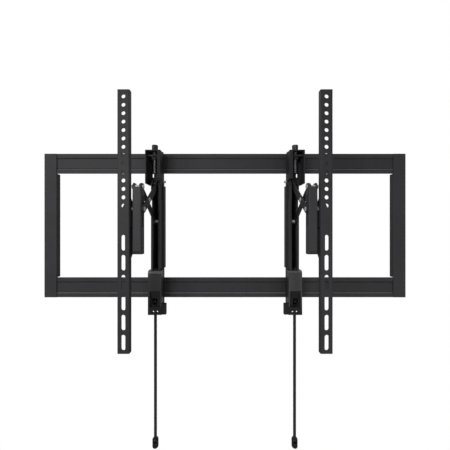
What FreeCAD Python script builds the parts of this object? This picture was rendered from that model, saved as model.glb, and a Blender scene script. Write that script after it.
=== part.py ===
import FreeCAD, Part
import math
import os
import re
import Sketcher

# Tilt and swivel wall mount for a flat television.
# Millimetres, Z up, wall plane at Y = 0, front towards -Y, origin at the middle of the wall plate.
# "depth" is the distance in front of the wall, so depth = -Y.
# "out" is the distance from the middle plane, so X = -out on the left side and +out on the right.

document = FreeCAD.newDocument("wall_mount")
sheet = document.addObject("Spreadsheet::Sheet", "Sizes")

SIZES = {
    # wall plate: two hat-section rails, two end plates, two snap-in covers
    "plate_width": 760,
    "plate_height": 302.5,
    "rail_height": 41.8,
    "rail_front": 14,
    "rail_sheet": 2,
    "rail_web_half": 13,
    "rail_bend": 1.9,
    "lag_pitch": 101.6,
    "lag_slot_length": 60,
    "lag_slot_width": 9,
    "end_width": 25.7,
    "end_sheet": 1.5,
    "end_flange": 12,
    "end_corner": 1.2,
    "cover_gap": 0.6,
    "cover_sheet": 1.5,
    "cover_recess": 0.8,
    "cover_leg": 6,
    "rivet_radius": 1.6,
    "rivet_head": 3,
    # hook and level screw
    "hook_sheet": 3,
    "hook_reach": 7,
    "hook_gap": 1.6,
    "shelf_sheet": 3.5,
    "shelf_drop": 8,
    "screw_out": 142.9,
    "screw_depth": 31,
    "screw_radius": 4,
    "screw_head_radius": 6.1,
    "screw_head_height": 13.2,
    "screw_length": 43,
    "nut_corner": 7.2,
    "nut_height": 5,
    "socket_corner": 3.4,
    "socket_depth": 4,
    "neck_depth": 0.6,
    "clip_sheet": 1.2,
    # top housing
    "housing_in": 128.1,
    "housing_out": 158.2,
    "housing_drop": 1.25,
    "housing_height": 66.6,
    "housing_front": 47,
    "housing_sheet": 2,
    "housing_lip": 6.4,
    "relief_in": 9,
    "relief_rise": 17.6,
    "relief_run": 5,
    "relief_radius": 1.4,
    "notch_back": 26,
    "notch_rise": 9.6,
    # swivel post
    "post_out": 134,
    "post_depth": 13,
    "post_radius": 3.25,
    "post_lug": 3,
    "lug_radius": 6,
    "lug_lift": 2.6,
    "nut_radius": 5.6,
    "post_nut_height": 4.5,
    "collar_height": 3,
    # swing channel
    "channel_in": 130.5,
    "channel_out": 146.4,
    "channel_back": 6,
    "channel_front": 47,
    "channel_sheet": 1.8,
    "channel_step": 3.7,
    "channel_lip": 4.2,
    "lip_top": 30,
    "cutback_top": 70,
    "cutback_depth": 41,
    "step_depth": 22,
    "swing_gap": 0.7,
    "doubler_sheet": 0.9,
    "doubler_drop": 31,
    "upper_lug_drop": 38.7,
    "lower_lug_lift": 19.6,
    "hinge_radius": 6.5,
    "track_groove": 0.8,
    "channel_ear": 7,
    "floor_front": 30,
    # scissor
    "wall_pin_depth": 36,
    "upper_pin_rise": 1.1,
    "wall_half": 69.8,
    "tv_half": 34.1,
    "rest_angle": 56.8,
    "folded_angle": 19,
    "open_angle": 75,
    "link_gap": 0.3,
    "link_sheet": 2.2,
    "link_radius": 5.8,
    "broad_radius": 6.6,
    "broad_share": 0.82,
    "pin_radius": 3,
    "pin_head": 3.8,
    "rivet_pin": 2.5,
    "rivet_cap": 0.9,
    "rivet_shoulder": 3.2,
    "pin_cap": 1.4,
    "roller_width": 1.8,
    # carrier box
    "box_in": 137.3,
    "box_out": 152.4,
    "box_sheet": 2.2,
    "box_ahead": 8.06,
    "box_behind": 6.94,
    "box_slope": 4.5,
    "box_rise": 6.4,
    "box_drop": 23.4,
    "web_drop": 0.7,
    "pin_reach": 2.6,
    # tilt head
    "block_reach": 4.8,
    "block_back": 8,
    "block_ahead": 4.5,
    "block_wall": 3.5,
    "block_drop": 14,
    "tilt_setback": 1.94,
    "tilt_drop": 89.452,
    "lock_drop": 14,
    "tilt_forward": 12,
    "tilt_back": 5,
    "bracket_sheet": 2.5,
    "bracket_rise": 76,
    "bracket_shoulder": 67,
    "bracket_brow": 60,
    "bracket_hip": 21,
    "bracket_waist": 27,
    "bracket_fall": 37,
    "bracket_depth": 21.5,
    "bracket_neck": 15.5,
    "bracket_toe": 5,
    "seat_rise": 62,
    "seat_shoulder": 52,
    "seat_fall": 20,
    "seat_hip": 12,
    "seat_waist": 8,
    "seat_narrow": 2,
    "seat_wide": 3,
    "rivet_first": 38.5,
    "rivet_pitch": 20,
    "bolt_nut": 3,
    "bolt_head": 3.5,
    "bolt_rim": 1.6,
    "bar_middle": 165.5,
    "bar_width": 20.2,
    "bar_ahead": 13.5,
    "bar_sheet": 1.8,
    "bar_flange": 8.5,
    "bar_rise": 246.1,
    "bar_length": 430.5,
    "bar_clear": 3,
    "hole_radius": 3.33,
    "hole_pitch": 13.71,
    "hole_margin": 11.2,
    "slot_length": 25.4,
    "slot_pitch": 32.5,
    "slot_margin": 249.7,
    "mark_lift": 28.7,
    "mark_half": 4.6,
    "mark_rise": 4.2,
    "mark_stroke": 2,
    "mark_depth": 0.4,
    # latch, cord and pull
    "latch_in": 127.3,
    "latch_out": 151,
    "latch_rise": 60.25,
    "latch_reach": 25.75,
    "latch_front": 45,
    "latch_sheet": 2,
    "cover_wall": 1.6,
    "cover_crown": 6,
    "cover_flank": 15,
    "window_rise": 21.25,
    "window_reach": 9.75,
    "panel_set": 4,
    "panel_sheet": 1.5,
    "panel_in": 135.4,
    "panel_out": 146.7,
    "panel_hole": 15.3,
    "ear_reach": 9.7,
    "ear_rise": 5.4,
    "ear_depth": 8,
    "lip_set": 4,
    "lip_sheet": 2.5,
    "eye_in": 134.2,
    "eye_out": 142.2,
    "eye_lift": 6.3,
    "eye_radius": 2,
    "eye_depth": 4,
    "bolt_middle": 140,
    "bolt_width": 12.6,
    "bolt_height": 18.8,
    "bolt_front": 29,
    "claw_gap": 4,
    "claw_sheet": 3,
    "claw_foot": 3.8,
    "claw_bite": 4.2,
    "boss_width": 9,
    "boss_height": 6,
    "boss_front": 40.5,
    "button_drop": 6.8,
    "button_radius": 2.4,
    "button_height": 10,
    "spring_radius": 3.4,
    "wire_radius": 0.6,
    "spring_turns": 12,
    "cord_out": 140.5,
    "cord_depth": 36,
    "cord_radius": 3,
    "cord_reach": 278.75,
    "cord_socket": 5,
    "pull_radius": 6,
    "pull_height": 19.2,
    "pull_cup": 1.5,
    "pull_eye": 1.9,
    "pull_eye_run": 1.7,
    "pull_eye_drop": 4.2,
    # small reaches and overlaps that several pieces share
    "root": 0.5,
    "rivet_dome": 1.4,
    "rivet_cover": 0.5,
    "rivet_bite": 0.8,
    "edge_play": 0.4,
    "cover_bead": 1.6,
    "cover_tuck": 4,
    "hook_fall": 18,
    "finger_play": 0.8,
    "bend_leave": 0.5,
    "bend_lift": 0.7,
    "bend_shift": 0.8,
    "clip_width": 2,
    "clip_mouth": 1.6,
    "clip_play": 0.1,
    "window_drop": 9,
    "lug_reach": 4,
    "nut_room": 7,
    "strip_sheet": 3,
    "panel_lap": 2,
    "bolt_overlap": 4,
    "bolt_setting": 4,
    "claw_setting": 5,
    "spring_setting": 9,
    # fits
    "running_fit": 0.05,
    "fixed_fit": 0.03,
    "slot_play": 0.3,
    "side_play": 0.2,
}

DERIVED = {
    "half_plate": "plate_width / 2",
    "rail_centre": "(plate_height - rail_height) / 2",
    "rail_half": "rail_height / 2",
    "bend_inner": "rail_web_half - rail_sheet",
    "rail_end": "half_plate - end_sheet - side_play",
    "end_front": "rail_front + end_sheet",
    "end_inner": "half_plate - end_width",
    "cover_half": "bend_inner - cover_gap",
    "cover_front": "rail_front - cover_recess",
    "plate_top": "plate_height / 2",
    "lip_lower": "-plate_top",
    "housing_top": "plate_top - housing_drop",
    "housing_bottom": "housing_top - housing_height",
    "screw_end": "housing_top - screw_length",
    "channel_top": "housing_bottom - swing_gap",
    "upper_pin_height": "housing_bottom + upper_pin_rise",
    "latch_top": "lip_lower + latch_rise",
    "latch_bottom": "lip_lower - latch_reach",
    "cover_top": "latch_top + cover_wall",
    "window_top": "lip_lower + window_rise",
    "window_bottom": "lip_lower - window_reach",
    "channel_bottom": "cover_top + swing_gap",
    "step_in": "channel_in - channel_step",
    "doubler_top": "channel_top - doubler_drop",
    "rivet_out": "half_plate - end_width / 2",
    "rivet_lift": "(rail_half + rail_web_half) / 2",
    "hook_back": "rail_front + hook_gap",
    "hook_front": "hook_back + hook_sheet",
    "hook_under": "plate_top + 0.45",
    "hook_top": "hook_under + hook_sheet",
    "finger_front": "rail_front - rail_sheet - 1",
    "web_back": "hook_front + 0.7",
    "web_front": "web_back + housing_sheet",
    "hook_in": "housing_in + housing_sheet + 0.5",
    "hook_out": "housing_out - housing_sheet - 0.5",
    "shelf_top": "housing_top - shelf_drop",
    "collar_radius": "post_out - step_in - channel_sheet - slot_play",
    "upper_lug": "channel_top - upper_lug_drop",
    "lower_lug": "channel_bottom + lower_lug_lift",
    "link_mid": "box_in - link_gap",
    "link_in": "link_mid - link_sheet",
    "second_in": "box_in + box_sheet + side_play",
    "second_out": "second_in + link_sheet",
    "cross_depth": "wall_pin_depth + wall_half * sin(rest_angle)",
    "cross_height": "upper_pin_height - wall_half * cos(rest_angle)",
    "tv_pin_depth": "wall_pin_depth + (wall_half + tv_half) * sin(rest_angle)",
    "tv_upper": "upper_pin_height - (wall_half - tv_half) * cos(rest_angle)",
    "tv_lower": "upper_pin_height - (wall_half + tv_half) * cos(rest_angle)",
    "wall_lower": "upper_pin_height - 2 * wall_half * cos(rest_angle)",
    "wall_slot_top": "upper_pin_height - 2 * wall_half * cos(open_angle) + 0.5",
    "wall_slot_end": "upper_pin_height - 2 * wall_half * cos(folded_angle) - 0.5",
    "tv_slot_top": "tv_upper - 2 * tv_half * cos(open_angle) + 0.5",
    "tv_slot_end": "tv_upper - 2 * tv_half * cos(folded_angle) - 0.5",
    "box_top": "tv_upper + link_radius",
    "box_front": "tv_pin_depth + box_ahead",
    "box_back": "tv_pin_depth - box_behind",
    "box_web_top": "tv_upper - web_drop",
    "pin_out": "box_out + pin_reach",
    "tilt_depth": "tv_pin_depth - tilt_setback",
    "tilt_height": "tv_upper - tilt_drop",
    "box_bottom": "tilt_height - box_drop",
    "box_bend": "box_bottom + box_rise",
    "block_out": "box_out + block_reach",
    "block_top": "tv_slot_end - pin_head - 2",
    "block_wall_top": "tv_upper - block_drop",
    "lock_height": "tilt_height - lock_drop",
    "bar_front": "tilt_depth + bar_ahead",
    "bar_top": "tilt_height + bar_rise",
    "bar_bottom": "bar_top - bar_length",
    "hole_first": "bar_top - hole_margin",
    "slot_first": "bar_top - slot_margin",
    "mark_foot": "slot_first + mark_lift",
    "bracket_in": "block_out + side_play",
    "bracket_out": "bracket_in + bracket_sheet",
    "bar_in": "bar_middle - bar_width / 2",
    "bar_out": "bar_middle + bar_width / 2",
    "web_rear": "bar_front - bar_sheet",
    "flange_rear": "bar_front - bar_flange",
    "bracket_front": "web_rear",
    "bracket_rear": "web_rear - bracket_sheet",
    "slot_half": "slot_length / 2 - hole_radius",
    "latch_back": "rail_front + 1",
    "panel_front": "latch_front - panel_set",
    "panel_top": "window_bottom + panel_hole",
    "bolt_in": "bolt_middle - bolt_width / 2",
    "bolt_out": "bolt_middle + bolt_width / 2",
    "bolt_bottom": "window_bottom - bolt_overlap",
    "bolt_top": "bolt_bottom + bolt_height",
    "spring_depth": "latch_back + spring_setting",
    "cord_end": "lip_lower - cord_reach",
    "pull_bottom": "cord_end + pull_cup - pull_height",
}

row = 0
for name, size in SIZES.items():
    row += 1
    sheet.set(f"A{row}", name)
    sheet.set(f"B{row}", str(size))
    sheet.setAlias(f"B{row}", name)
for name, formula in DERIVED.items():
    row += 1
    sheet.set(f"A{row}", name)
    sheet.set(f"B{row}", "=" + formula)
    sheet.setAlias(f"B{row}", name)
document.recompute()


def bound(text):
    """The expression with each size name pointed at the sheet."""

    def point(match):
        word = match.group(0)
        known = word in SIZES or word in DERIVED
        return "Sizes." + word if known else word

    return re.sub(r"[a-z][a-z_]*", point, text)


def worth(text):
    """The number that an expression gives now."""
    return float(sheet.evalExpression(bound(text)))


ROLES = {"out": "YZ_Plane", "depth": "XZ_Plane", "height": "XY_Plane"}


def signed(side, text):
    """An out distance as an X value on the given side."""
    return f"-({text})" if side < 0 else f"({text})"


def to_sketch(axis, side, pair):
    """The two in-plane distances of a point as sketch coordinates."""
    first, second = pair
    if axis == "out":
        return f"-({first})", second
    if axis == "depth":
        return signed(side, first), second
    return signed(side, first), f"-({second})"


def pin_point(sketch, geometry, place, pair):
    """Fixes one point of the sketch at two expressions."""
    for kind, text in (("DistanceX", pair[0]), ("DistanceY", pair[1])):
        distance = worth(text)
        constraint = Sketcher.Constraint(kind, -1, 1, geometry, place, distance)
        index = sketch.addConstraint(constraint)
        sketch.setExpression(f"Constraints[{index}]", bound(text))


def vector_of(pair):
    return FreeCAD.Vector(worth(pair[0]), worth(pair[1]), 0)


def draw_polygon(sketch, pairs):
    """A closed run of straight lines, each corner at its own expressions."""
    first = sketch.GeometryCount
    count = len(pairs)
    points = [vector_of(pair) for pair in pairs]
    for index in range(count):
        line = Part.LineSegment(points[index], points[(index + 1) % count])
        sketch.addGeometry(line, False)
    for index in range(count):
        following = first + (index + 1) % count
        sketch.addConstraint(Sketcher.Constraint("Coincident", first + index, 2, following, 1))
    for index, pair in enumerate(pairs):
        pin_point(sketch, first + index, 1, pair)


def draw_circle(sketch, centre, radius):
    index = sketch.GeometryCount
    circle = Part.Circle(vector_of(centre), FreeCAD.Vector(0, 0, 1), worth(radius))
    sketch.addGeometry(circle, False)
    number = sketch.addConstraint(Sketcher.Constraint("Radius", index, worth(radius)))
    sketch.setExpression(f"Constraints[{number}]", bound(radius))
    pin_point(sketch, index, 3, centre)


def draw_slot(sketch, start, stop, radius):
    """A stadium: two half circles and the two lines that touch both."""
    begin, end, size = vector_of(start), vector_of(stop), worth(radius)
    heading = math.atan2(end.y - begin.y, end.x - begin.x)
    across = FreeCAD.Vector(-math.sin(heading), math.cos(heading), 0) * size
    normal = FreeCAD.Vector(0, 0, 1)
    quarter = math.pi / 2
    first = sketch.GeometryCount
    rear = Part.ArcOfCircle(Part.Circle(begin, normal, size), heading + quarter, heading + 3 * quarter)
    front = Part.ArcOfCircle(Part.Circle(end, normal, size), heading - quarter, heading + quarter)
    sketch.addGeometry(rear, False)
    sketch.addGeometry(front, False)
    sketch.addGeometry(Part.LineSegment(begin - across, end - across), False)
    sketch.addGeometry(Part.LineSegment(end + across, begin + across), False)
    touches = ((0, 2, 2, 1), (2, 2, 1, 1), (1, 2, 3, 1), (3, 2, 0, 1))
    for one, one_end, other, other_end in touches:
        touch = Sketcher.Constraint("Tangent", first + one, one_end, first + other, other_end)
        sketch.addConstraint(touch)
    number = sketch.addConstraint(Sketcher.Constraint("Radius", first, size))
    sketch.setExpression(f"Constraints[{number}]", bound(radius))
    sketch.addConstraint(Sketcher.Constraint("Equal", first, first + 1))
    pin_point(sketch, first, 3, start)
    pin_point(sketch, first + 1, 3, stop)


def polygon(*pairs):
    return ("polygon", pairs)


def rectangle(low, high, floor, ceiling):
    return polygon((low, floor), (high, floor), (high, ceiling), (low, ceiling))


def circle(centre, radius):
    return ("circle", centre, radius)


def slot(start, stop, radius):
    return ("slot", start, stop, radius)


bodies = {}
nodes = {}


def body_of(name):
    """The body of a node, made at its first use."""
    if name not in bodies:
        body = document.addObject("PartDesign::Body", name)
        body.Label = name
        bodies[name] = body
        nodes[name] = body
    return bodies[name]


def outline(name, axis, side, loops, low, high):
    """A sketch with closed loops at the start of its extrusion, and that extrusion's length."""
    body = body_of(name)
    sketch = body.newObject("Sketcher::SketchObject", "outline")
    planes = [plane for plane in body.Origin.OriginFeatures if plane.Role == ROLES[axis]]
    sketch.AttachmentSupport = [(planes[0], "")]
    sketch.MapMode = "FlatFace"
    start = low
    if axis == "out" and side < 0:
        start = f"-({high})"
    sketch.AttachmentOffset = FreeCAD.Placement(FreeCAD.Vector(0, 0, worth(start)), FreeCAD.Rotation())
    sketch.setExpression("AttachmentOffset.Base.z", bound(start))
    for loop in loops:
        if loop[0] == "polygon":
            draw_polygon(sketch, [to_sketch(axis, side, pair) for pair in loop[1]])
        elif loop[0] == "circle":
            draw_circle(sketch, to_sketch(axis, side, loop[1]), loop[2])
        else:
            ends = [to_sketch(axis, side, pair) for pair in loop[1:3]]
            draw_slot(sketch, ends[0], ends[1], loop[3])
    return body, sketch, f"({high}) - ({low})"


def add(name, axis, side, loops, low, high):
    """Adds the extrusion of some loops between two distances along an axis."""
    body, sketch, length = outline(name, axis, side, loops, low, high)
    pad = body.newObject("PartDesign::Pad", "pad")
    pad.Profile = sketch
    pad.Length = worth(length)
    pad.setExpression("Length", bound(length))
    return pad


def cut(name, axis, side, loops, low, high):
    """Cuts the extrusion of some loops between two distances along an axis."""
    body, sketch, length = outline(name, axis, side, loops, low, high)
    pocket = body.newObject("PartDesign::Pocket", "pocket")
    pocket.Profile = sketch
    pocket.Reversed = True
    pocket.Length = worth(length)
    pocket.setExpression("Length", bound(length))
    return pocket


def soften(name, radius, choose):
    """Rounds the edges of a body that a test picks."""
    document.recompute()
    body = body_of(name)
    base = body.Tip
    picked = [f"Edge{number}" for number, edge in enumerate(base.Shape.Edges, 1) if choose(edge)]
    fillet = body.newObject("PartDesign::Fillet", "fillet")
    fillet.Base = (base, picked)
    fillet.Radius = worth(radius)
    fillet.setExpression("Radius", bound(radius))
    return fillet


NEAR = 1e-4


def runs_along(edge, direction):
    """True for a straight edge along a direction."""
    if not isinstance(edge.Curve, Part.Line):
        return False
    return abs(abs(edge.Curve.Direction * direction) - 1) < NEAR


def at(edge, **places):
    """True where the middle of an edge has the given coordinates."""
    box = edge.BoundBox
    middle = {"x": (box.XMin + box.XMax) / 2, "y": (box.YMin + box.YMax) / 2, "z": (box.ZMin + box.ZMax) / 2}
    return all(any(abs(middle[axis] - place) < 0.01 for place in choices) for axis, choices in places.items())


ALONG_X = FreeCAD.Vector(1, 0, 0)
ALONG_Y = FreeCAD.Vector(0, 1, 0)
ALONG_Z = FreeCAD.Vector(0, 0, 1)


def rod(label, direction, out, depth, height, radius, length):
    """A plain cylinder from a start point along -Y or Z, bound to the sheet."""
    cylinder = document.addObject("Part::Cylinder", label)
    cylinder.Radius = worth(radius)
    cylinder.setExpression("Radius", bound(radius))
    cylinder.Height = worth(length)
    cylinder.setExpression("Height", bound(length))
    turn = FreeCAD.Rotation(ALONG_Z, direction)
    start = FreeCAD.Vector(worth(out), -worth(depth), worth(height))
    cylinder.Placement = FreeCAD.Placement(start, turn)
    cylinder.setExpression("Placement.Base.x", bound(out))
    cylinder.setExpression("Placement.Base.y", bound(f"-({depth})"))
    cylinder.setExpression("Placement.Base.z", bound(height))
    return cylinder


def rivets(name, places, radius, head, head_back, head_front, tip):
    """A group of rivets along -Y, each a head and a shank."""
    solids = []
    for number, (out, height) in enumerate(places):
        cap_length = f"({head_front}) - ({head_back})"
        shank_length = f"({tip}) - ({head_front}) + root"
        cap = rod(f"cap{number}", -ALONG_Y, out, head_back, height, head, cap_length)
        shank = rod(f"shank{number}", -ALONG_Y, out, f"{head_front} - root", height, radius, shank_length)
        joined = document.addObject("Part::MultiFuse", f"rivet{number}")
        joined.Shapes = [cap, shank]
        solids.append(joined)
    group = document.addObject("Part::Compound", name)
    group.Label = name
    group.Links = solids
    nodes[name] = group


FLUSH = "end_front - rivet_cover"


def wall_plate():
    """The rails, their covers, the end plates and the rivets that join them."""
    spots = []
    for word, way in (("top", 1), ("bottom", -1)):
        centre = "rail_centre" if way > 0 else "-rail_centre"
        rail = f"{word}_rail"
        lip, face = "rail_front - rail_sheet", "rail_front"
        add(rail, "out", 1, [polygon(
            ("0.0", f"{centre} - rail_web_half"),
            ("0.0", f"{centre} + rail_web_half"),
            (lip, f"{centre} + rail_web_half"),
            (lip, f"{centre} + rail_half"),
            (face, f"{centre} + rail_half"),
            (face, f"{centre} + bend_inner"),
            ("rail_sheet", f"{centre} + bend_inner"),
            ("rail_sheet", f"{centre} - bend_inner"),
            (face, f"{centre} - bend_inner"),
            (face, f"{centre} - rail_half"),
            (lip, f"{centre} - rail_half"),
            (lip, f"{centre} - rail_web_half"),
        )], "-rail_end", "rail_end")
        half = "lag_slot_length / 2 - lag_slot_width / 2"
        lags = []
        for step in range(-3, 4):
            middle = f"{step} * lag_pitch"
            ends = [(f"{middle} - ({half})", centre), (f"{middle} + {half}", centre)]
            lags.append(slot(*ends, "lag_slot_width / 2"))
        cut(rail, "depth", 1, lags, "-1", "rail_sheet + 1")
        holes = []
        for edge in ("-rivet_out", "rivet_out"):
            for height in (f"{centre} - rivet_lift", f"{centre} + rivet_lift"):
                spots.append((edge, height))
                holes.append(circle((edge, height), "rivet_radius + fixed_fit"))
        cut(rail, "depth", 1, holes, f"{lip} - 1", f"{face} + 1")
        bends = [worth(f"{centre} + bend_inner"), worth(f"{centre} - bend_inner")]
        soften(rail, "rail_bend",
               lambda edge: runs_along(edge, ALONG_X) and at(edge, y=[-worth(face)], z=bends))

        cover = f"{word}_rail_cover"
        rear = "cover_front - cover_leg"
        bead = f"{rear} + cover_bead"
        inner = "cover_half - cover_sheet"
        add(cover, "out", 1, [polygon(
            ("cover_front", f"{centre} + cover_half"),
            ("cover_front", f"{centre} - cover_half"),
            (bead, f"{centre} - cover_half"),
            (bead, f"{centre} - bend_inner"),
            (rear, f"{centre} - bend_inner"),
            (rear, f"{centre} - ({inner})"),
            ("cover_front - cover_sheet", f"{centre} - ({inner})"),
            ("cover_front - cover_sheet", f"{centre} + {inner}"),
            (rear, f"{centre} + {inner}"),
            (rear, f"{centre} + bend_inner"),
            (bead, f"{centre} + bend_inner"),
            (bead, f"{centre} + cover_half"),
        )], "-(end_inner + cover_tuck)", "end_inner + cover_tuck")

    for word, side in (("left", -1), ("right", 1)):
        plate = f"{word}_end_plate"
        add(plate, "height", side, [polygon(
            ("end_inner", "end_front - end_flange"),
            ("end_inner + end_sheet", "end_front - end_flange"),
            ("end_inner + end_sheet", "rail_front"),
            ("half_plate - end_sheet", "rail_front"),
            ("half_plate - end_sheet", "0.0"),
            ("half_plate", "0.0"),
            ("half_plate", "end_front"),
            ("end_inner", "end_front"),
        )], "-plate_top", "plate_top")
        notch = [rectangle("end_inner - 1", "end_inner + end_sheet + edge_play", "-1", "rail_front")]
        inner_edge = "plate_top - rail_height - edge_play"
        cut(plate, "height", side, notch, inner_edge, "plate_top + 1")
        cut(plate, "height", side, notch, "-plate_top - 1", f"-({inner_edge})")
        edge = "rivet_out"
        heights = [f"{sign}rail_centre {lift} rivet_lift" for sign in ("", "-") for lift in ("+", "-")]
        blind = [circle((edge, height), "rivet_radius + fixed_fit") for height in heights]
        cut(plate, "depth", side, blind, "rail_front - root", FLUSH)
        rims = [side * worth("end_inner"), side * worth("half_plate")]
        top = worth("plate_top")
        soften(plate, "end_corner",
               lambda edge: runs_along(edge, ALONG_Y) and at(edge, x=rims, z=[top, -top]))
        front = -worth("end_front")
        soften(plate, "end_sheet / 3",
               lambda edge: runs_along(edge, ALONG_Z) and at(edge, x=rims, y=[front]))
    rivets("plate_rivets", spots, "rivet_radius", "rivet_head",
           "rail_front - rail_sheet - rivet_dome", "rail_front - rail_sheet", FLUSH)


def hook_and_screw(word, side):
    """The hook over the top rail, the level screw and the clip that keeps the screw in the housing."""
    hook = f"{word}_hook"
    add(hook, "out", side, [polygon(
        ("hook_back", "rail_centre - hook_fall"),
        ("hook_front", "rail_centre - hook_fall"),
        ("hook_front", "hook_top"),
        ("finger_front - hook_sheet", "hook_top"),
        ("finger_front - hook_sheet", "plate_top - hook_reach + finger_play"),
        ("finger_front", "plate_top - hook_reach + finger_play"),
        ("finger_front", "hook_under"),
        ("hook_back", "hook_under"),
    )], "hook_in", "hook_out")
    ends = [-worth("hook_front"), -worth("finger_front - hook_sheet")]
    crown = [worth("hook_top")]
    soften(hook, "hook_sheet - bend_leave",
           lambda edge: runs_along(edge, ALONG_X) and at(edge, y=ends, z=crown))
    shelf_floor = "shelf_top - shelf_sheet"
    add(hook, "out", side, [rectangle("hook_front - 1", "screw_depth + 10", shelf_floor, "shelf_top")],
        "hook_in", "hook_out")
    centre = ("screw_out", "screw_depth")
    corners = []
    for step in range(6):
        angle = 60 * step
        across, along = f"nut_corner * cos({angle})", f"nut_corner * sin({angle})"
        corners.append((f"screw_out + {across}", f"screw_depth + {along}"))
    nut_floor = f"{shelf_floor} - nut_height"
    add(hook, "height", side, [polygon(*corners)], nut_floor, f"{shelf_floor} + root")
    thread = [circle(centre, "screw_radius + running_fit")]
    cut(hook, "height", side, thread, f"{nut_floor} - 1", "shelf_top + 1")

    screw = f"{word}_level_screw"
    seat = "housing_top + side_play"
    add(screw, "height", side, [circle(centre, "screw_radius")], "screw_end", f"{seat} + 1")
    add(screw, "height", side, [circle(centre, "screw_head_radius")], seat, f"{seat} + screw_head_height")
    socket = []
    for step in range(6):
        angle = 60 * step
        across, along = f"socket_corner * cos({angle})", f"socket_corner * sin({angle})"
        socket.append((f"screw_out + {across}", f"screw_depth + {along}"))
    crest = f"{seat} + screw_head_height"
    cut(screw, "height", side, [polygon(*socket)], f"{crest} - socket_depth", f"{crest} + 1")
    clip_top = "housing_top - housing_sheet - side_play"
    clip_floor = f"{clip_top} - clip_sheet"
    neck = [circle(centre, "screw_radius + 1"), circle(centre, "screw_radius - neck_depth")]
    cut(screw, "height", side, neck, clip_floor, clip_top)

    clip = f"{word}_screw_clip"
    eye, rim = "screw_radius - neck_depth + fixed_fit", "screw_radius + clip_width"
    ring = [circle(centre, rim), circle(centre, eye)]
    add(clip, "height", side, ring, f"{clip_floor} + clip_play", f"{clip_top} - clip_play")
    jaw = ("screw_out - clip_mouth", "screw_out + clip_mouth")
    mouth = [rectangle(*jaw, "screw_depth + 1", f"screw_depth + {rim} + 1")]
    cut(clip, "height", side, mouth, f"{clip_floor} - 1", f"{clip_top} + 1")


def housing_and_post(word, side):
    """The top housing, the swivel post that hangs from it and the post's nut."""
    housing = f"{word}_top_housing"
    inner, outer = "housing_in + housing_sheet", "housing_out - housing_sheet"
    rear = "rail_front + 1"
    add(housing, "height", side, [polygon(
        ("housing_in", rear),
        (inner, rear),
        (inner, "web_back"),
        (outer, "web_back"),
        (outer, rear),
        ("housing_out", rear),
        ("housing_out", "housing_front"),
        (outer, "housing_front"),
        (outer, "web_front"),
        (inner, "web_front"),
        (inner, "housing_front"),
        ("housing_in", "housing_front"),
    )], "housing_bottom", "housing_top")
    roof = [rectangle("housing_in", "housing_out", "web_back", "housing_front")]
    add(housing, "height", side, roof, "housing_top - housing_sheet", "housing_top")
    window = [rectangle(inner, outer, "shelf_top - shelf_sheet - window_drop", "housing_top - housing_sheet")]
    cut(housing, "depth", side, window, "web_back - 1", "web_front + 1")
    relief_out, relief_low = "housing_out - relief_in", "housing_bottom + relief_rise"
    relief = [slot((relief_out, relief_low), (relief_out, f"{relief_low} + relief_run"), "relief_radius")]
    cut(housing, "depth", side, relief, "web_back - 1", "web_front + 1")
    lip = [rectangle("housing_in", "housing_in + housing_lip", "housing_bottom", "housing_top")]
    add(housing, "depth", side, lip, "housing_front - housing_sheet", "housing_front")
    notch_top = "housing_bottom + notch_rise"
    notch = [rectangle("notch_back", "housing_front + 1", "housing_bottom - 1", notch_top)]
    cut(housing, "out", side, notch, "housing_in - 1", "housing_in + housing_lip + 1")
    post = ("post_out", "post_depth")
    lug = [slot(post, ("post_out + lug_reach", "post_depth"), "lug_radius")]
    lug_floor = "housing_bottom + lug_lift"
    lug_top = f"{lug_floor} + post_lug"
    add(housing, "height", side, lug, lug_floor, lug_top)
    root = [rectangle("housing_in + 1", "post_out + lug_reach + lug_radius", "post_depth", "web_back + 1")]
    add(housing, "height", side, root, lug_floor, lug_top)
    bore = [circle(post, "post_radius + fixed_fit")]
    cut(housing, "height", side, bore, f"{lug_floor} - 1", f"{lug_top} + 1")
    room = [circle(post, "nut_radius + slot_play")]
    cut(housing, "height", side, room, "housing_bottom - 1", lug_floor)
    cut(housing, "height", side, room, lug_top, f"{lug_top} + nut_room")
    screw_hole = [circle(("screw_out", "screw_depth"), "screw_radius + slot_play")]
    cut(housing, "height", side, screw_hole, "housing_top - housing_sheet - 1", "housing_top + 1")

    pole = f"{word}_swivel_post"
    nut_top = f"{lug_top} + post_nut_height"
    add(pole, "height", side, [circle(post, "post_radius")], "latch_top - post_lug", nut_top)
    collar_top = "lower_lug - side_play"
    add(pole, "height", side, [circle(post, "collar_radius")], f"{collar_top} - collar_height", collar_top)
    nut = f"{word}_post_nut"
    ring = [circle(post, "nut_radius"), circle(post, "post_radius + fixed_fit")]
    add(nut, "height", side, ring, lug_top, nut_top)


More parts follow.
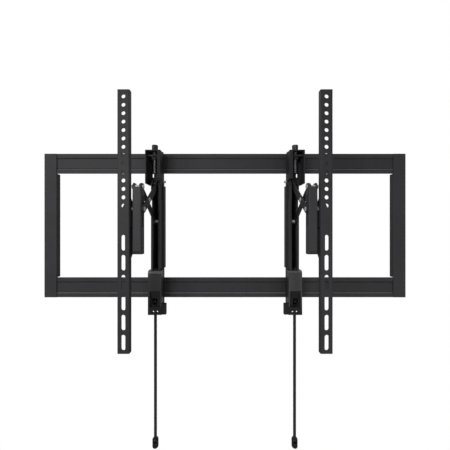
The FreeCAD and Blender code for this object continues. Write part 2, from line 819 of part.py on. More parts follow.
def swing_channel(word, side):
    """The channel that turns on the post and holds the wall ends of the scissor."""
    channel = f"{word}_swing_channel"
    inner, outer = "channel_in + channel_sheet", "channel_out - channel_sheet"
    behind = "step_in + channel_sheet"
    add(channel, "height", side, [polygon(
        ("step_in", "channel_back"),
        ("channel_out", "channel_back"),
        ("channel_out", "channel_front"),
        (outer, "channel_front"),
        (outer, "channel_back + channel_sheet"),
        (behind, "channel_back + channel_sheet"),
        (behind, "step_depth - channel_sheet"),
        (inner, "step_depth - channel_sheet"),
        (inner, "channel_front"),
        ("channel_in", "channel_front"),
        ("channel_in", "step_depth"),
        ("step_in", "step_depth"),
    )], "channel_bottom", "channel_top")
    lip = [rectangle("channel_out - channel_lip", "channel_out", "channel_bottom", "lip_top")]
    add(channel, "depth", side, lip, "channel_front - channel_sheet", "channel_front")
    cutback = [rectangle("cutback_depth", "channel_front + 1", "lip_top", "cutback_top")]
    cut(channel, "out", side, cutback, f"{outer} - 1", "channel_out + 1")
    doubler = [rectangle("step_depth", "channel_front", "channel_bottom", "doubler_top")]
    add(channel, "out", side, doubler, "channel_in - doubler_sheet", "channel_in")
    pivot = ("wall_pin_depth", "upper_pin_height")
    ear = [slot(pivot, ("wall_pin_depth", "channel_top - channel_ear"), "channel_ear")]
    add(channel, "out", side, ear, "channel_in", inner)
    add(channel, "out", side, ear, outer, "channel_out")
    sole = [rectangle("step_in + 1", "channel_out - 1", "channel_back + 1", "floor_front")]
    add(channel, "height", side, sole, "channel_bottom", "channel_bottom + channel_sheet")
    post = ("post_out", "post_depth")
    for floor in ("upper_lug", "lower_lug"):
        add(channel, "height", side, [circle(post, "hinge_radius")], floor, f"{floor} + post_lug")
    bores = [circle(post, "post_radius + running_fit")]
    cut(channel, "height", side, bores, "channel_bottom - 1", "upper_lug + post_lug + 1")
    cut(channel, "out", side, [circle(pivot, "pin_radius + fixed_fit")], "channel_in - 1", "channel_out + 1")
    run = [("wall_pin_depth", "wall_slot_top"), ("wall_pin_depth", "wall_slot_end")]
    track = [slot(*run, "pin_radius + slot_play")]
    cut(channel, "out", side, track, f"{inner} - track_groove", f"{outer} + track_groove")

    pin = f"{word}_upper_wall_pin"
    add(pin, "out", side, [circle(pivot, "pin_radius")], "channel_in - pin_cap", "channel_out + pin_cap")
    add(pin, "out", side, [circle(pivot, "pin_head")], "channel_in - pin_cap", "channel_in")
    add(pin, "out", side, [circle(pivot, "pin_head")], "channel_out", "channel_out + pin_cap")


def scissor(word, side):
    """The two crossed links, their sliding pins and the rivet where they cross."""
    upper_wall = ("wall_pin_depth", "upper_pin_height")
    lower_wall = ("wall_pin_depth", "wall_lower")
    upper_tv = ("tv_pin_depth", "tv_upper")
    lower_tv = ("tv_pin_depth", "tv_lower")
    cross = ("cross_depth", "cross_height")
    first = f"{word}_falling_link"
    add(first, "out", side, [
        slot(upper_wall, lower_tv, "broad_radius"),
        circle(upper_wall, "pin_radius + running_fit"),
        circle(cross, "rivet_pin + fixed_fit"),
        circle(lower_tv, "pin_radius + fixed_fit"),
    ], "link_in", "link_mid")
    second = f"{word}_rising_link"
    add(second, "out", side, [slot(lower_wall, upper_tv, "link_radius")], "second_in", "second_out")
    broad_end = ("wall_pin_depth + broad_share * (tv_pin_depth - wall_pin_depth)",
                 "wall_lower + broad_share * (tv_upper - wall_lower)")
    add(second, "out", side, [slot(lower_wall, broad_end, "broad_radius")], "second_in", "second_out")
    bores = [
        circle(lower_wall, "pin_radius + fixed_fit"),
        circle(cross, "rivet_pin + running_fit"),
        circle(upper_tv, "pin_radius + running_fit"),
    ]
    cut(second, "out", side, bores, "second_in - 1", "second_out + 1")

    rivet = f"{word}_cross_rivet"
    tail = "second_out + side_play"
    add(rivet, "out", side, [circle(cross, "rivet_pin")], "link_in - rivet_cap", f"{tail} + rivet_cap")
    add(rivet, "out", side, [circle(cross, "pin_head")], "link_in - rivet_cap", "link_in")
    add(rivet, "out", side, [circle(cross, "rivet_shoulder")], "link_mid", "second_in - side_play")
    add(rivet, "out", side, [circle(cross, "pin_head")], tail, f"{tail} + rivet_cap")

    slide = f"{word}_lower_wall_pin"
    near, far = "channel_in + channel_sheet", "channel_out - channel_sheet"
    ends = (f"{near} - track_groove + side_play", f"{far} + track_groove - side_play")
    add(slide, "out", side, [circle(lower_wall, "pin_radius")], *ends)
    roller = [circle(lower_wall, "pin_head")]
    add(slide, "out", side, roller, f"{near} + side_play", f"{near} + side_play + roller_width")
    add(slide, "out", side, roller, f"{far} - side_play - roller_width", f"{far} - side_play")

    starts = {"lower_tv_pin": (lower_tv, "link_in - rivet_cap", "link_in"),
              "upper_tv_pin": (upper_tv, "box_in - pin_cap - side_play", "box_in - side_play")}
    for name, (place, low, shoulder) in starts.items():
        pin = f"{word}_{name}"
        add(pin, "out", side, [circle(place, "pin_radius")], low, "pin_out")
        add(pin, "out", side, [circle(place, "pin_head")], low, shoulder)
        add(pin, "out", side, [circle(place, "pin_head")], "box_out + side_play", "pin_out")


def carrier(word, side):
    """The box at the television end of the scissor, with the block that spaces off the tilt head."""
    box = f"{word}_carrier_box"
    slope = "box_front - box_slope"
    cheek = polygon(
        ("box_back", "box_bottom"),
        (slope, "box_bottom"),
        ("box_front", "box_bend"),
        ("box_front", "box_web_top"),
        (slope, "box_top"),
        ("box_back", "box_top"),
    )
    inner_face, outer_face = "box_in + box_sheet", "box_out - box_sheet"
    web = [polygon(
        ("box_back", "box_bottom"),
        (slope, "box_bottom"),
        ("box_front", "box_bend"),
        ("box_front", "box_web_top"),
        ("box_front - box_sheet", "box_web_top"),
        ("box_front - box_sheet", "box_bend + bend_lift"),
        (f"{slope} - bend_shift", "box_bottom + box_sheet"),
        ("box_back", "box_bottom + box_sheet"),
    )]
    add(box, "out", side, web, "box_in", "box_out")
    add(box, "out", side, [cheek], "box_in", inner_face)
    add(box, "out", side, [cheek], outer_face, "box_out")
    run = [("tv_pin_depth", "tv_slot_top"), ("tv_pin_depth", "tv_slot_end")]
    track = [slot(*run, "pin_radius + slot_play")]
    cut(box, "out", side, track, "box_in - 1", "box_out + 1")
    seat = [circle(("tv_pin_depth", "tv_upper"), "pin_radius + fixed_fit")]
    cut(box, "out", side, seat, "box_in - 1", "box_out + 1")
    pivots = [("tilt_depth", "tilt_height"), ("tilt_depth", "lock_height")]
    holes = [circle(place, "pin_radius + fixed_fit") for place in pivots]
    cut(box, "out", side, holes, f"{outer_face} - 1", "box_out + 1")

    rims = [side * worth("box_in"), side * worth("box_out")]
    soften(box, "box_sheet",
           lambda edge: runs_along(edge, ALONG_Z) and at(edge, x=rims, y=[-worth("box_front")]))

    block = f"{word}_tilt_block"
    rear = "tilt_depth - block_back"
    slab = rectangle(rear, "tilt_depth + block_ahead", "box_bottom", "block_top")
    add(block, "out", side, [slab, *holes], "box_out", "block_out")
    fin = [rectangle(rear, f"{rear} + block_wall", "block_top - 1", "block_wall_top")]
    add(block, "out", side, fin, "box_out", "block_out")

    bolts = []
    for number, (depth, height) in enumerate(pivots):
        low, high = "box_out - box_sheet - bolt_nut", "bracket_out + side_play"
        start, head_start = signed(side, low), signed(side, high)
        heading = ALONG_X * side
        reach = f"{high} + bolt_head - ({low})"
        rim = "pin_radius + bolt_rim"
        shank = rod(f"{word}_stem{number}", heading, start, depth, height, "pin_radius", reach)
        nut = rod(f"{word}_nut{number}", heading, start, depth, height, rim, "bolt_nut")
        head = rod(f"{word}_head{number}", heading, head_start, depth, height, rim, "bolt_head")
        joined = document.addObject("Part::MultiFuse", f"{word}_bolt{number}")
        joined.Shapes = [shank, nut, head]
        bolts.append(joined)
    name = f"{word}_tilt_bolts"
    group = document.addObject("Part::Compound", name)
    group.Label = name
    group.Links = bolts
    nodes[name] = group


def tilt_head(word, side):
    """The bracket that tilts on the block, the bar that carries the television and their rivets."""
    bracket = f"{word}_tilt_bracket"
    add(bracket, "out", side, [polygon(
        ("bracket_front", "tilt_height + bracket_rise"),
        ("bracket_front - bracket_toe", "tilt_height + bracket_rise"),
        ("bracket_front - bracket_neck", "tilt_height + bracket_shoulder"),
        ("bracket_front - bracket_depth", "tilt_height + bracket_brow"),
        ("bracket_front - bracket_depth", "tilt_height - bracket_hip"),
        ("bracket_front - bracket_neck", "tilt_height - bracket_waist"),
        ("bracket_front - bracket_toe", "tilt_height - bracket_fall"),
        ("bracket_front", "tilt_height - bracket_fall"),
    )], "bracket_in", "bracket_out")
    narrow, wide = "bar_middle - seat_narrow", "bar_middle + seat_wide"
    seat = polygon(
        ("bracket_in", "tilt_height + seat_rise"),
        (narrow, "tilt_height + seat_rise"),
        (wide, "tilt_height + seat_shoulder"),
        (wide, "tilt_height + seat_hip"),
        (narrow, "tilt_height + seat_waist"),
        (narrow, "tilt_height - seat_fall"),
        ("bracket_in", "tilt_height - seat_fall"),
    )
    add(bracket, "depth", side, [seat], "bracket_rear", "bracket_front")
    pivot = [circle(("tilt_depth", "tilt_height"), "pin_radius + running_fit")]
    cut(bracket, "out", side, pivot, "bracket_in - 1", "bracket_out + 1")
    rear = "tilt_depth - lock_drop * sin(tilt_back)"
    front = "tilt_depth + lock_drop * sin(tilt_forward)"
    arc = [slot((rear, "lock_height"), (front, "lock_height"), "pin_radius + 2 * slot_play")]
    cut(bracket, "out", side, arc, "bracket_in - 1", "bracket_out + 1")
    places = [("bar_middle", f"tilt_height + rivet_first - {step} * rivet_pitch") for step in range(2)]
    bores = [circle(place, "rivet_radius + fixed_fit") for place in places]
    cut(bracket, "depth", side, bores, "bracket_rear - 1", "bracket_front + 1")

    bar = f"{word}_vesa_bar"
    add(bar, "height", side, [polygon(
        ("bar_in", "flange_rear"),
        ("bar_in + bar_sheet", "flange_rear"),
        ("bar_in + bar_sheet", "web_rear"),
        ("bar_out - bar_sheet", "web_rear"),
        ("bar_out - bar_sheet", "flange_rear"),
        ("bar_out", "flange_rear"),
        ("bar_out", "bar_front"),
        ("bar_in", "bar_front"),
    )], "bar_bottom", "bar_top")
    round_holes = []
    for step in range(14):
        height = f"hole_first - {step} * hole_pitch"
        round_holes.append(circle(("bar_middle", height), "hole_radius"))
    cut(bar, "depth", side, round_holes, "web_rear - 1", "bar_front + 1")
    long_holes = []
    for step in range(6):
        height = f"slot_first - {step} * slot_pitch"
        ends = [("bar_middle", f"{height} + slot_half"), ("bar_middle", f"{height} - slot_half")]
        long_holes.append(slot(*ends, "hole_radius"))
    cut(bar, "depth", side, long_holes, "web_rear - 1", "bar_front + 1")
    cut(bar, "depth", side, bores, "web_rear - 1", "web_rear + 1")
    low, high = "lock_height - lock_drop", "block_top + bar_clear"
    clear = [rectangle("bar_in - 1", "bar_in + bar_sheet", low, high)]
    cut(bar, "depth", side, clear, "flange_rear - 1", "web_rear - 1.5")
    mark = [polygon(
        ("bar_middle - mark_half", "mark_foot"),
        ("bar_middle", "mark_foot + mark_rise"),
        ("bar_middle + mark_half", "mark_foot"),
        ("bar_middle + mark_half", "mark_foot + mark_stroke"),
        ("bar_middle", "mark_foot + mark_rise + mark_stroke"),
        ("bar_middle - mark_half", "mark_foot + mark_stroke"),
    )]
    cut(bar, "depth", side, mark, "bar_front - mark_depth", "bar_front + 1")
    rims = [side * worth("bar_in"), side * worth("bar_out")]
    soften(bar, "bar_sheet",
           lambda edge: runs_along(edge, ALONG_Z) and at(edge, x=rims, y=[-worth("bar_front")]))
    rivets(f"{word}_bar_rivets", [(signed(side, out), height) for out, height in places],
           "rivet_radius", "rivet_head", "bracket_rear - rivet_dome", "bracket_rear", "web_rear + rivet_bite")


def latch(word, side):
    """The latch under the bottom rail: base, cover, sliding bolt, spring, cord and pull."""
    base = f"{word}_latch_base"
    post = ("post_out", "post_depth")
    roof = [rectangle("latch_in", "latch_out", "latch_back", "latch_front")]
    add(base, "height", side, roof, "latch_top - post_lug", "latch_top")
    lug = [slot(post, ("post_out + lug_reach", "post_depth"), "lug_radius")]
    add(base, "height", side, lug, "latch_top - post_lug", "latch_top")
    back = [rectangle("latch_in", "latch_out", "lip_lower + 1.5", "latch_top - 1")]
    add(base, "depth", side, back, "latch_back", "latch_back + latch_sheet")
    cheek = [rectangle("latch_back", "latch_front", "latch_bottom", "latch_top - 1")]
    add(base, "out", side, cheek, "latch_in", "latch_in + latch_sheet")
    add(base, "out", side, cheek, "latch_out - latch_sheet", "latch_out")
    sill = [rectangle("latch_in", "latch_out", "latch_front - lip_set", "latch_front")]
    add(base, "height", side, sill, "latch_bottom", "latch_bottom + lip_sheet")
    left, right = "latch_in - cover_wall", "latch_out + cover_wall"
    strip = [rectangle(left, right, "latch_bottom", "window_bottom - root")]
    add(base, "depth", side, strip, "latch_front - strip_sheet", "latch_front + latch_sheet")
    ramp = [polygon(
        ("latch_front - panel_sheet", "window_top + panel_lap"),
        ("latch_front", "window_top + panel_lap"),
        ("panel_front", "panel_top"),
        ("panel_front - panel_sheet", "panel_top"),
    )]
    add(base, "out", side, ramp, "latch_in + 1", "latch_out - 1")
    for low, high in (("latch_in + 1", "panel_in"), ("panel_out", "latch_out - 1")):
        jamb = [rectangle(low, high, "window_bottom - panel_lap", "panel_top + 1")]
        add(base, "depth", side, jamb, "panel_front - panel_sheet", "panel_front")
    ear = [rectangle("latch_front - ear_depth", "latch_front", "latch_bottom", "window_bottom + ear_rise")]
    add(base, "out", side, ear, "latch_in - ear_reach", "latch_in + 1")
    slope = [polygon(
        ("latch_front - cover_crown - 1", "latch_top + 1"),
        ("latch_front + 1", "latch_top + 1"),
        ("latch_front + 1", "latch_top - cover_crown - 2"),
    )]
    cut(base, "out", side, slope, "latch_in - 1", "latch_out + 1")
    bore = [circle(post, "post_radius + fixed_fit")]
    cut(base, "height", side, bore, "latch_top - post_lug - 1", "latch_top + 1")
    eyes = [circle((out, "latch_bottom + eye_lift"), "eye_radius") for out in ("eye_in", "eye_out")]
    cut(base, "depth", side, eyes, "latch_front - eye_depth", "latch_front + eye_depth")

    cover = f"{word}_latch_cover"
    low, high = "latch_in - side_play", "latch_out + side_play"
    add(cover, "depth", side, [polygon(
        (left, "cover_top"),
        (right, "cover_top"),
        (right, "window_bottom"),
        ("latch_out - cover_wall", "window_bottom"),
        ("latch_out - cover_wall", "window_top"),
        ("latch_in + cover_wall", "window_top"),
        ("latch_in + cover_wall", "window_bottom"),
        (left, "window_bottom"),
    )], "latch_front", "latch_front + latch_sheet")
    rear = "latch_front - cover_flank"
    flank = [rectangle(rear, "latch_front + 1", "window_bottom + ear_rise + slot_play", "cover_top")]
    add(cover, "out", side, flank, left, low)
    add(cover, "out", side, flank, high, right)
    ceiling = "latch_top + side_play"
    add(cover, "height", side, [rectangle(left, right, rear, "latch_front + 1")], ceiling, "cover_top")
    corner = [polygon(
        ("latch_front - cover_crown + root", f"{ceiling} + side_play"),
        ("latch_front + root", f"{ceiling} + side_play"),
        ("latch_front + root", f"{ceiling} - cover_crown"),
    )]
    add(cover, "out", side, corner, left, right)
    face = -worth("latch_front + latch_sheet")
    soften(cover, "cover_crown",
           lambda edge: runs_along(edge, ALONG_X) and at(edge, y=[face], z=[worth("cover_top")]))

    bolt = f"{word}_latch_bolt"
    slab = [rectangle("latch_back + bolt_setting", "bolt_front", "bolt_bottom", "bolt_top")]
    add(bolt, "out", side, slab, "bolt_in", "bolt_out")
    tip, foot = "rail_front - claw_gap", "bolt_bottom + claw_foot"
    claw = [polygon(
        (f"{tip} - claw_sheet", "bolt_bottom"),
        ("latch_back + claw_setting", "bolt_bottom"),
        ("latch_back + claw_setting", foot),
        (tip, foot),
        (tip, "lip_lower + claw_bite"),
        (f"{tip} - claw_sheet", "lip_lower + claw_bite"),
    )]
    add(bolt, "out", side, claw, "bolt_in", "bolt_out")
    half = "boss_width / 2"
    boss = [rectangle(f"cord_out - {half}", f"cord_out + {half}", "bolt_front - 1", "boss_front")]
    add(bolt, "height", side, boss, "bolt_bottom", "bolt_bottom + boss_height")
    button = [circle(("cord_out", "bolt_top - button_drop"), "button_radius")]
    nose = "bolt_front + button_height"
    add(bolt, "depth", side, button, "bolt_front - 1", nose)
    soften(bolt, "button_radius / 2",
           lambda edge: isinstance(edge.Curve, Part.Circle) and at(edge, y=[-worth(nose)]))
    cord = ("cord_out", "cord_depth")
    socket = [circle(cord, "cord_radius + fixed_fit")]
    cut(bolt, "height", side, socket, "bolt_bottom - 1", "bolt_bottom + cord_socket")

    helix = document.addObject("Part::Helix", f"{word}_spring_path")
    seat = "wire_radius + clip_play"
    rise = f"latch_top - post_lug - bolt_top - 2 * ({seat})"
    helix.Pitch = worth(f"({rise}) / spring_turns")
    helix.setExpression("Pitch", bound(f"({rise}) / spring_turns"))
    helix.Height = worth(rise)
    helix.setExpression("Height", bound(rise))
    helix.Radius = worth("spring_radius")
    helix.setExpression("Radius", bound("spring_radius"))
    ring = document.addObject("Part::Circle", f"{word}_spring_wire")
    ring.Radius = worth("wire_radius")
    ring.setExpression("Radius", bound("wire_radius"))
    start = FreeCAD.Vector(worth("spring_radius"), 0, 0)
    ring.Placement = FreeCAD.Placement(start, FreeCAD.Rotation(ALONG_X, 90))
    ring.setExpression("Placement.Base.x", bound("spring_radius"))
    spring = document.addObject("Part::Sweep", f"{word}_latch_spring")
    spring.Label = f"{word}_latch_spring"
    document.recompute()
    spring.Sections = [ring]
    spring.Spine = (helix, [f"Edge{number}" for number in range(1, len(helix.Shape.Edges) + 1)])
    spring.Solid = True
    spring.Frenet = True
    lift = f"bolt_top + {seat}"
    spring_out = signed(side, "bolt_middle")
    foot = FreeCAD.Vector(worth(spring_out), -worth("spring_depth"), worth(lift))
    spring.Placement = FreeCAD.Placement(foot, FreeCAD.Rotation())
    spring.setExpression("Placement.Base.x", bound(spring_out))
    spring.setExpression("Placement.Base.y", bound("-spring_depth"))
    spring.setExpression("Placement.Base.z", bound(lift))
    nodes[f"{word}_latch_spring"] = spring

    name = f"{word}_pull_cord"
    string = rod(name, ALONG_Z, signed(side, "cord_out"), "cord_depth", "cord_end",
                 "cord_radius", "bolt_bottom + cord_socket - cord_end")
    string.Label = name
    nodes[name] = string

    pull = f"{word}_cord_pull"
    pull_top = "pull_bottom + pull_height"
    add(pull, "height", side, [circle(cord, "pull_radius")], "pull_bottom", pull_top)
    soften(pull, "pull_radius / 2", lambda edge: isinstance(edge.Curve, Part.Circle))
    cut(pull, "height", side, [circle(cord, "cord_radius + fixed_fit")], "cord_end", f"{pull_top} + 1")
    eye_height = "cord_end - pull_eye_drop"
    eye_ends = [(f"cord_out {sign} pull_eye_run", eye_height) for sign in ("-", "+")]
    eye = [slot(*eye_ends, "pull_eye")]
    cut(pull, "depth", side, eye, "cord_depth - pull_radius - 1", "cord_depth + pull_radius + 1")


wall_plate()
for word, side in (("left", -1), ("right", 1)):
    hook_and_screw(word, side)
    housing_and_post(word, side)
    swing_channel(word, side)
    scissor(word, side)
    carrier(word, side)
    tilt_head(word, side)
    latch(word, side)
document.recompute()

for item in document.Objects:
    if "Invalid" in item.State or "Error" in item.State:
        raise RuntimeError(f"{item.Label} did not rebuild")
os.makedirs("parts", exist_ok=True)
for name, item in nodes.items():
    shape = item.Shape
    if shape.isNull() or not shape.isValid():
        raise RuntimeError(f"{name} has no sound shape")
    shape.exportStep(f"parts/{name}.step")
print(len(nodes), "nodes written")
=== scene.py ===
# %% [markdown]
# This lesson dresses a wall mount for a flat television: two rails and two end plates on the wall, and
# two arms that slide on the rails, swing a little, push forward on a scissor and tilt. The solids come
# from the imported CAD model, which stays where it is. Blender adds the finishes, the braided cords, screw
# threads, nuts and springs.

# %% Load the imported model
import math
import bpy
import numpy as np
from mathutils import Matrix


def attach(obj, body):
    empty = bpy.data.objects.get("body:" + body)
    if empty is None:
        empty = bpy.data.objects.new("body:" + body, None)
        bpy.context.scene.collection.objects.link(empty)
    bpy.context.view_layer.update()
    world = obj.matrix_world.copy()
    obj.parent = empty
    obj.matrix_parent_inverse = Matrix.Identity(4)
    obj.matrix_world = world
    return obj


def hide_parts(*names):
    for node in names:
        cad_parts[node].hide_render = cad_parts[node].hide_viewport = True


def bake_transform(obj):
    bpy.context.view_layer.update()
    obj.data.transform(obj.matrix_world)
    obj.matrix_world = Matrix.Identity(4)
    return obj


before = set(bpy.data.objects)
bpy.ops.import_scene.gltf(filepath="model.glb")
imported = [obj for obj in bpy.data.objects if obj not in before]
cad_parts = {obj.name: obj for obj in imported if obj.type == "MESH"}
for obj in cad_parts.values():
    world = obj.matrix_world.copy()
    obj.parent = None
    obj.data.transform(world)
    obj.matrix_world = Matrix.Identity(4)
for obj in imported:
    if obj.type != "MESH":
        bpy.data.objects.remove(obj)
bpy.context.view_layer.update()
scene = bpy.context.scene
MM = 0.001
SIDES = (("left", -1), ("right", 1))

# %% [markdown]
# The photograph was taken from close by with a wide lens: things 130 mm nearer to the camera look a third
# larger. So the camera stands on the middle axis, level, and its distance from the wall and its lens set
# that perspective.

# %% Camera
CAMERA_DISTANCE = 540 * MM
LENS = 19.95
SENSOR = 36.0
IMAGE_SIDE = 450
PIXELS_LOW = 0.5

view = bpy.data.cameras.new("photo_camera")
view.sensor_width = SENSOR
view.lens = LENS
view.shift_y = PIXELS_LOW / IMAGE_SIDE
camera = bpy.data.objects.new("photo_camera", view)
camera.location = (0, -CAMERA_DISTANCE, 0)
camera.rotation_euler = (math.radians(90), 0, 0)
scene.collection.objects.link(camera)
scene.camera = camera
print("camera at", tuple(camera.location), "lens", view.lens)

# %% [markdown]
# A surface here is a grid of points: one direction runs round, the other along. One helper turns such a
# grid into a mesh. It can close either direction, so the same helper makes a tube, a ring and a closed
# turned piece.


# %% From a grid of points to a piece
def piece_from_grid(name, points, close_round=True, close_along=False, cap_ends=False, crease=None):
    """Makes a mesh from points[along, round, xyz]. Each face joins four neighbours of the grid, and the
    faces wrap in the directions that are closed. Capped ends get a fan to the middle of the end ring. Edges
    that bend by more than the crease, in degrees, stay sharp."""
    rows, columns = points.shape[:2]
    number = np.arange(rows * columns).reshape(rows, columns)
    below = number if close_along else number[:-1]
    above = np.roll(number, -1, 0) if close_along else number[1:]
    if close_round:
        quads = np.stack([below, np.roll(below, -1, 1), np.roll(above, -1, 1), above], -1)
    else:
        quads = np.stack([below[:, :-1], below[:, 1:], above[:, 1:], above[:, :-1]], -1)
    vertices = points.reshape(-1, 3)
    faces = quads.reshape(-1, 4).tolist()
    if cap_ends:
        middles = np.stack([points[0].mean(0), points[-1].mean(0)])
        first, last = len(vertices), len(vertices) + 1
        vertices = np.concatenate([vertices, middles])
        start = np.stack([np.roll(number[0], -1), number[0], np.full(columns, first)], -1)
        stop = np.stack([number[-1], np.roll(number[-1], -1), np.full(columns, last)], -1)
        faces += start.tolist() + stop.tolist()
    mesh = bpy.data.meshes.new(name)
    mesh.from_pydata(vertices, [], faces)
    mesh.shade_smooth()
    if crease is not None:
        mesh.set_sharp_from_angle(angle=math.radians(crease))
    made = bpy.data.objects.new(name, mesh)
    scene.collection.objects.link(made)
    return made


# %% [markdown]
# Each arm has a braided pull cord that opens its latch. Its line is a NURBS curve through a few points,
# and it hangs straight, as in the photograph. The braid is real relief: two sets of strands wind round
# the cord in opposite directions and pass over and under each other.

# %% Pull cords
CORD_OUT, CORD_DEPTH, CORD_RADIUS = 140.5 * MM, 36 * MM, 3 * MM
CORD_TOP, CORD_END = -160 * MM, -430 * MM
CORD_POINTS = 5
STRANDS = 8
BRAID_LAY = 18 * MM
BRAID_RELIEF = 0.45 * MM
CORD_ROWS, CORD_COLUMNS = 1100, 56


def route_points(name, controls):
    """Points along the smooth NURBS line of a few control points."""
    curve = bpy.data.curves.new(name, "CURVE")
    curve.dimensions = "3D"
    spline = curve.splines.new("NURBS")
    spline.points.add(len(controls) - 1)
    for point, place in zip(spline.points, controls):
        point.co = (*place, 1)
    spline.order_u = 3
    spline.use_endpoint_u = True
    spline.resolution_u = 40
    route = bpy.data.objects.new(name, curve)
    scene.collection.objects.link(route)
    line = bpy.data.meshes.new_from_object(route)
    found = np.empty(len(line.vertices) * 3)
    line.vertices.foreach_get("co", found)
    bpy.data.meshes.remove(line)
    bpy.data.objects.remove(route)
    return found.reshape(-1, 3)


def braided_tube(name, line):
    """A tube round a line whose radius is the higher of two sets of strands. Strand u turns one way, strand
    v the other. Each is a rounded ridge that rises where it passes over and sinks where it passes under."""
    steps = np.linalg.norm(np.diff(line, axis=0), axis=1)
    travelled = np.concatenate([[0], np.cumsum(steps)])
    along = np.linspace(0, travelled[-1], CORD_ROWS)
    middle = np.stack([np.interp(along, travelled, line[:, axis]) for axis in range(3)], -1)
    heading = np.gradient(middle, axis=0)
    heading /= np.linalg.norm(heading, axis=1, keepdims=True)
    across = np.cross(heading, [0, 1, 0])
    across /= np.linalg.norm(across, axis=1, keepdims=True)
    other = np.cross(heading, across)
    turn = np.linspace(0, 2 * np.pi, CORD_COLUMNS, endpoint=False)
    angle, distance = np.meshgrid(turn, along)
    u = STRANDS * (angle / (2 * np.pi) + distance / BRAID_LAY)
    v = STRANDS * (angle / (2 * np.pi) - distance / BRAID_LAY)
    over_u = np.cos(np.pi * np.floor(u)) * np.sin(np.pi * v)
    over_v = -np.cos(np.pi * np.floor(v)) * np.sin(np.pi * u)
    ridge_u = np.sqrt(np.abs(np.sin(np.pi * u))) * (0.6 + 0.4 * over_u)
    ridge_v = np.sqrt(np.abs(np.sin(np.pi * v))) * (0.6 + 0.4 * over_v)
    height = np.clip(np.maximum(ridge_u, ridge_v), 0, 1)
    radius = CORD_RADIUS - BRAID_RELIEF * (1 - height)
    round_cord = np.cos(angle)[..., None] * across[:, None] + np.sin(angle)[..., None] * other[:, None]
    tube = piece_from_grid(name, middle[:, None] + radius[..., None] * round_cord, cap_ends=True)
    lift = tube.data.attributes.new("braid_height", "FLOAT", "POINT")
    lift.data.foreach_set("value", np.append(height.ravel(), [1, 1]).astype(np.float32))
    return tube


cords = {}
for word, side in SIDES:
    heights = np.linspace(CORD_TOP, CORD_END, CORD_POINTS)
    controls = [(side * CORD_OUT, -CORD_DEPTH, height) for height in heights]
    line = route_points(f"{word}_cord_route", controls)
    cord = braided_tube(f"{word}_braided_cord", line)
    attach(cord, f"{word}_latch")
    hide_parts(f"{word}_pull_cord")
    cords[word] = cord
print("cords:", [len(cord.data.polygons) for cord in cords.values()], "faces")

# %% [markdown]
# Screws, nuts and rivets are turned round an axis, so one function makes them all from a run of rings. A
# ring says how far along the axis it lies, how wide it is, and how much of a hexagon it is. Where the run
# turns back inwards and down, it forms a socket. The level screw's thread is real relief: one turn of the
# fine M8 thread climbs 1 mm. Its fluted grip is a dark cap on the bright screw.

# %% Turned hardware
TURN_COLUMNS = 96
THREAD_PITCH, THREAD_DEPTH, THREAD_STEP = 1.0, 0.55, 0.125
THREAD_START, POINT_TAPER = 0.7, 0.7
SCREW_OUT, SCREW_DEPTH = 142.9, 31
SCREW_RADIUS, NECK_RADIUS, HEAD_RADIUS, SOCKET_CORNER = 4, 3.4, 6.1, 3.4
SCREW_END, THREAD_END, SCREW_SEAT, SCREW_CREST = 107, 145.8, 150.2, 163.4
CLIP_FLOOR, CLIP_TOP = 146.6, 147.8
HEAD_FLUTES, FLUTE_DEPTH, FLUTE_MARGIN, FLUTE_EDGE = 16, 0.35, 1.5, 0.1
SEAT_BEVEL, CREST_BEVEL, SOCKET_DEPTH, GRIP_LAP = 0.4, 0.5, 4, 2
POST_OUT, POST_DEPTH, NUT_FLOOR, NUT_TOP = 134, 13, 89, 93.5
NUT_BORE, NUT_FACE, NUT_CORNER, NUT_BEVEL = 3.3, 4.85, 5.6, 0.5
RIVET_OUT, RIVET_DEPTH, RIVET_HEIGHT = 128.1, 17.2, 91.4


def hexagon_reach(angle):
    """How far a hexagon with its corners at distance one reaches at each angle."""
    sector = np.pi / 3
    return np.cos(sector / 2) / np.cos(np.mod(angle, sector) - sector / 2)


def turned_points(place, heading, rings, shape=None):
    """Points[along, round, xyz] of rings round an axis. A ring is (along, radius, hexagon share), in
    millimetres, and it reaches radius * (1 - share + share * hexagon_reach). shape, when given, takes off
    some of that as a function of angle and distance along."""
    heading = np.array(heading, float)
    aside = [0, 1, 0] if abs(heading[1]) < 0.5 else [0, 0, 1]
    across = np.cross(heading, aside)
    other = np.cross(heading, across)
    along, radius, share = (np.array(column, float)[:, None] for column in zip(*rings))
    angle = np.linspace(0, 2 * np.pi, TURN_COLUMNS, endpoint=False)[None]
    reach = radius * (1 - share + share * hexagon_reach(angle))
    if shape is not None:
        reach = reach - shape(angle, along)
    spoke = np.cos(angle)[..., None] * across + np.sin(angle)[..., None] * other
    return (np.array(place) + along[..., None] * heading + reach[..., None] * spoke) * MM


def screw_relief(angle, height):
    """The thread and the grip of the level screw. Thread: the depth grows with the distance from the crest,
    which lies at height = pitch * (angle / turn + n). Grip: shallow flutes round the head."""
    phase = np.mod(height / THREAD_PITCH - angle / (2 * np.pi), 1)
    groove = np.clip(1.2 * (1 - np.abs(2 * phase - 1)) - 0.1, 0, 1)
    inside = (height > SCREW_END + THREAD_START - THREAD_STEP) & (height < THREAD_END)
    flutes = 0.5 - 0.5 * np.cos(HEAD_FLUTES * angle)
    gripped = (height > SCREW_SEAT + FLUTE_MARGIN) & (height < SCREW_CREST - FLUTE_MARGIN)
    return THREAD_DEPTH * groove * inside + FLUTE_DEPTH * flutes * gripped


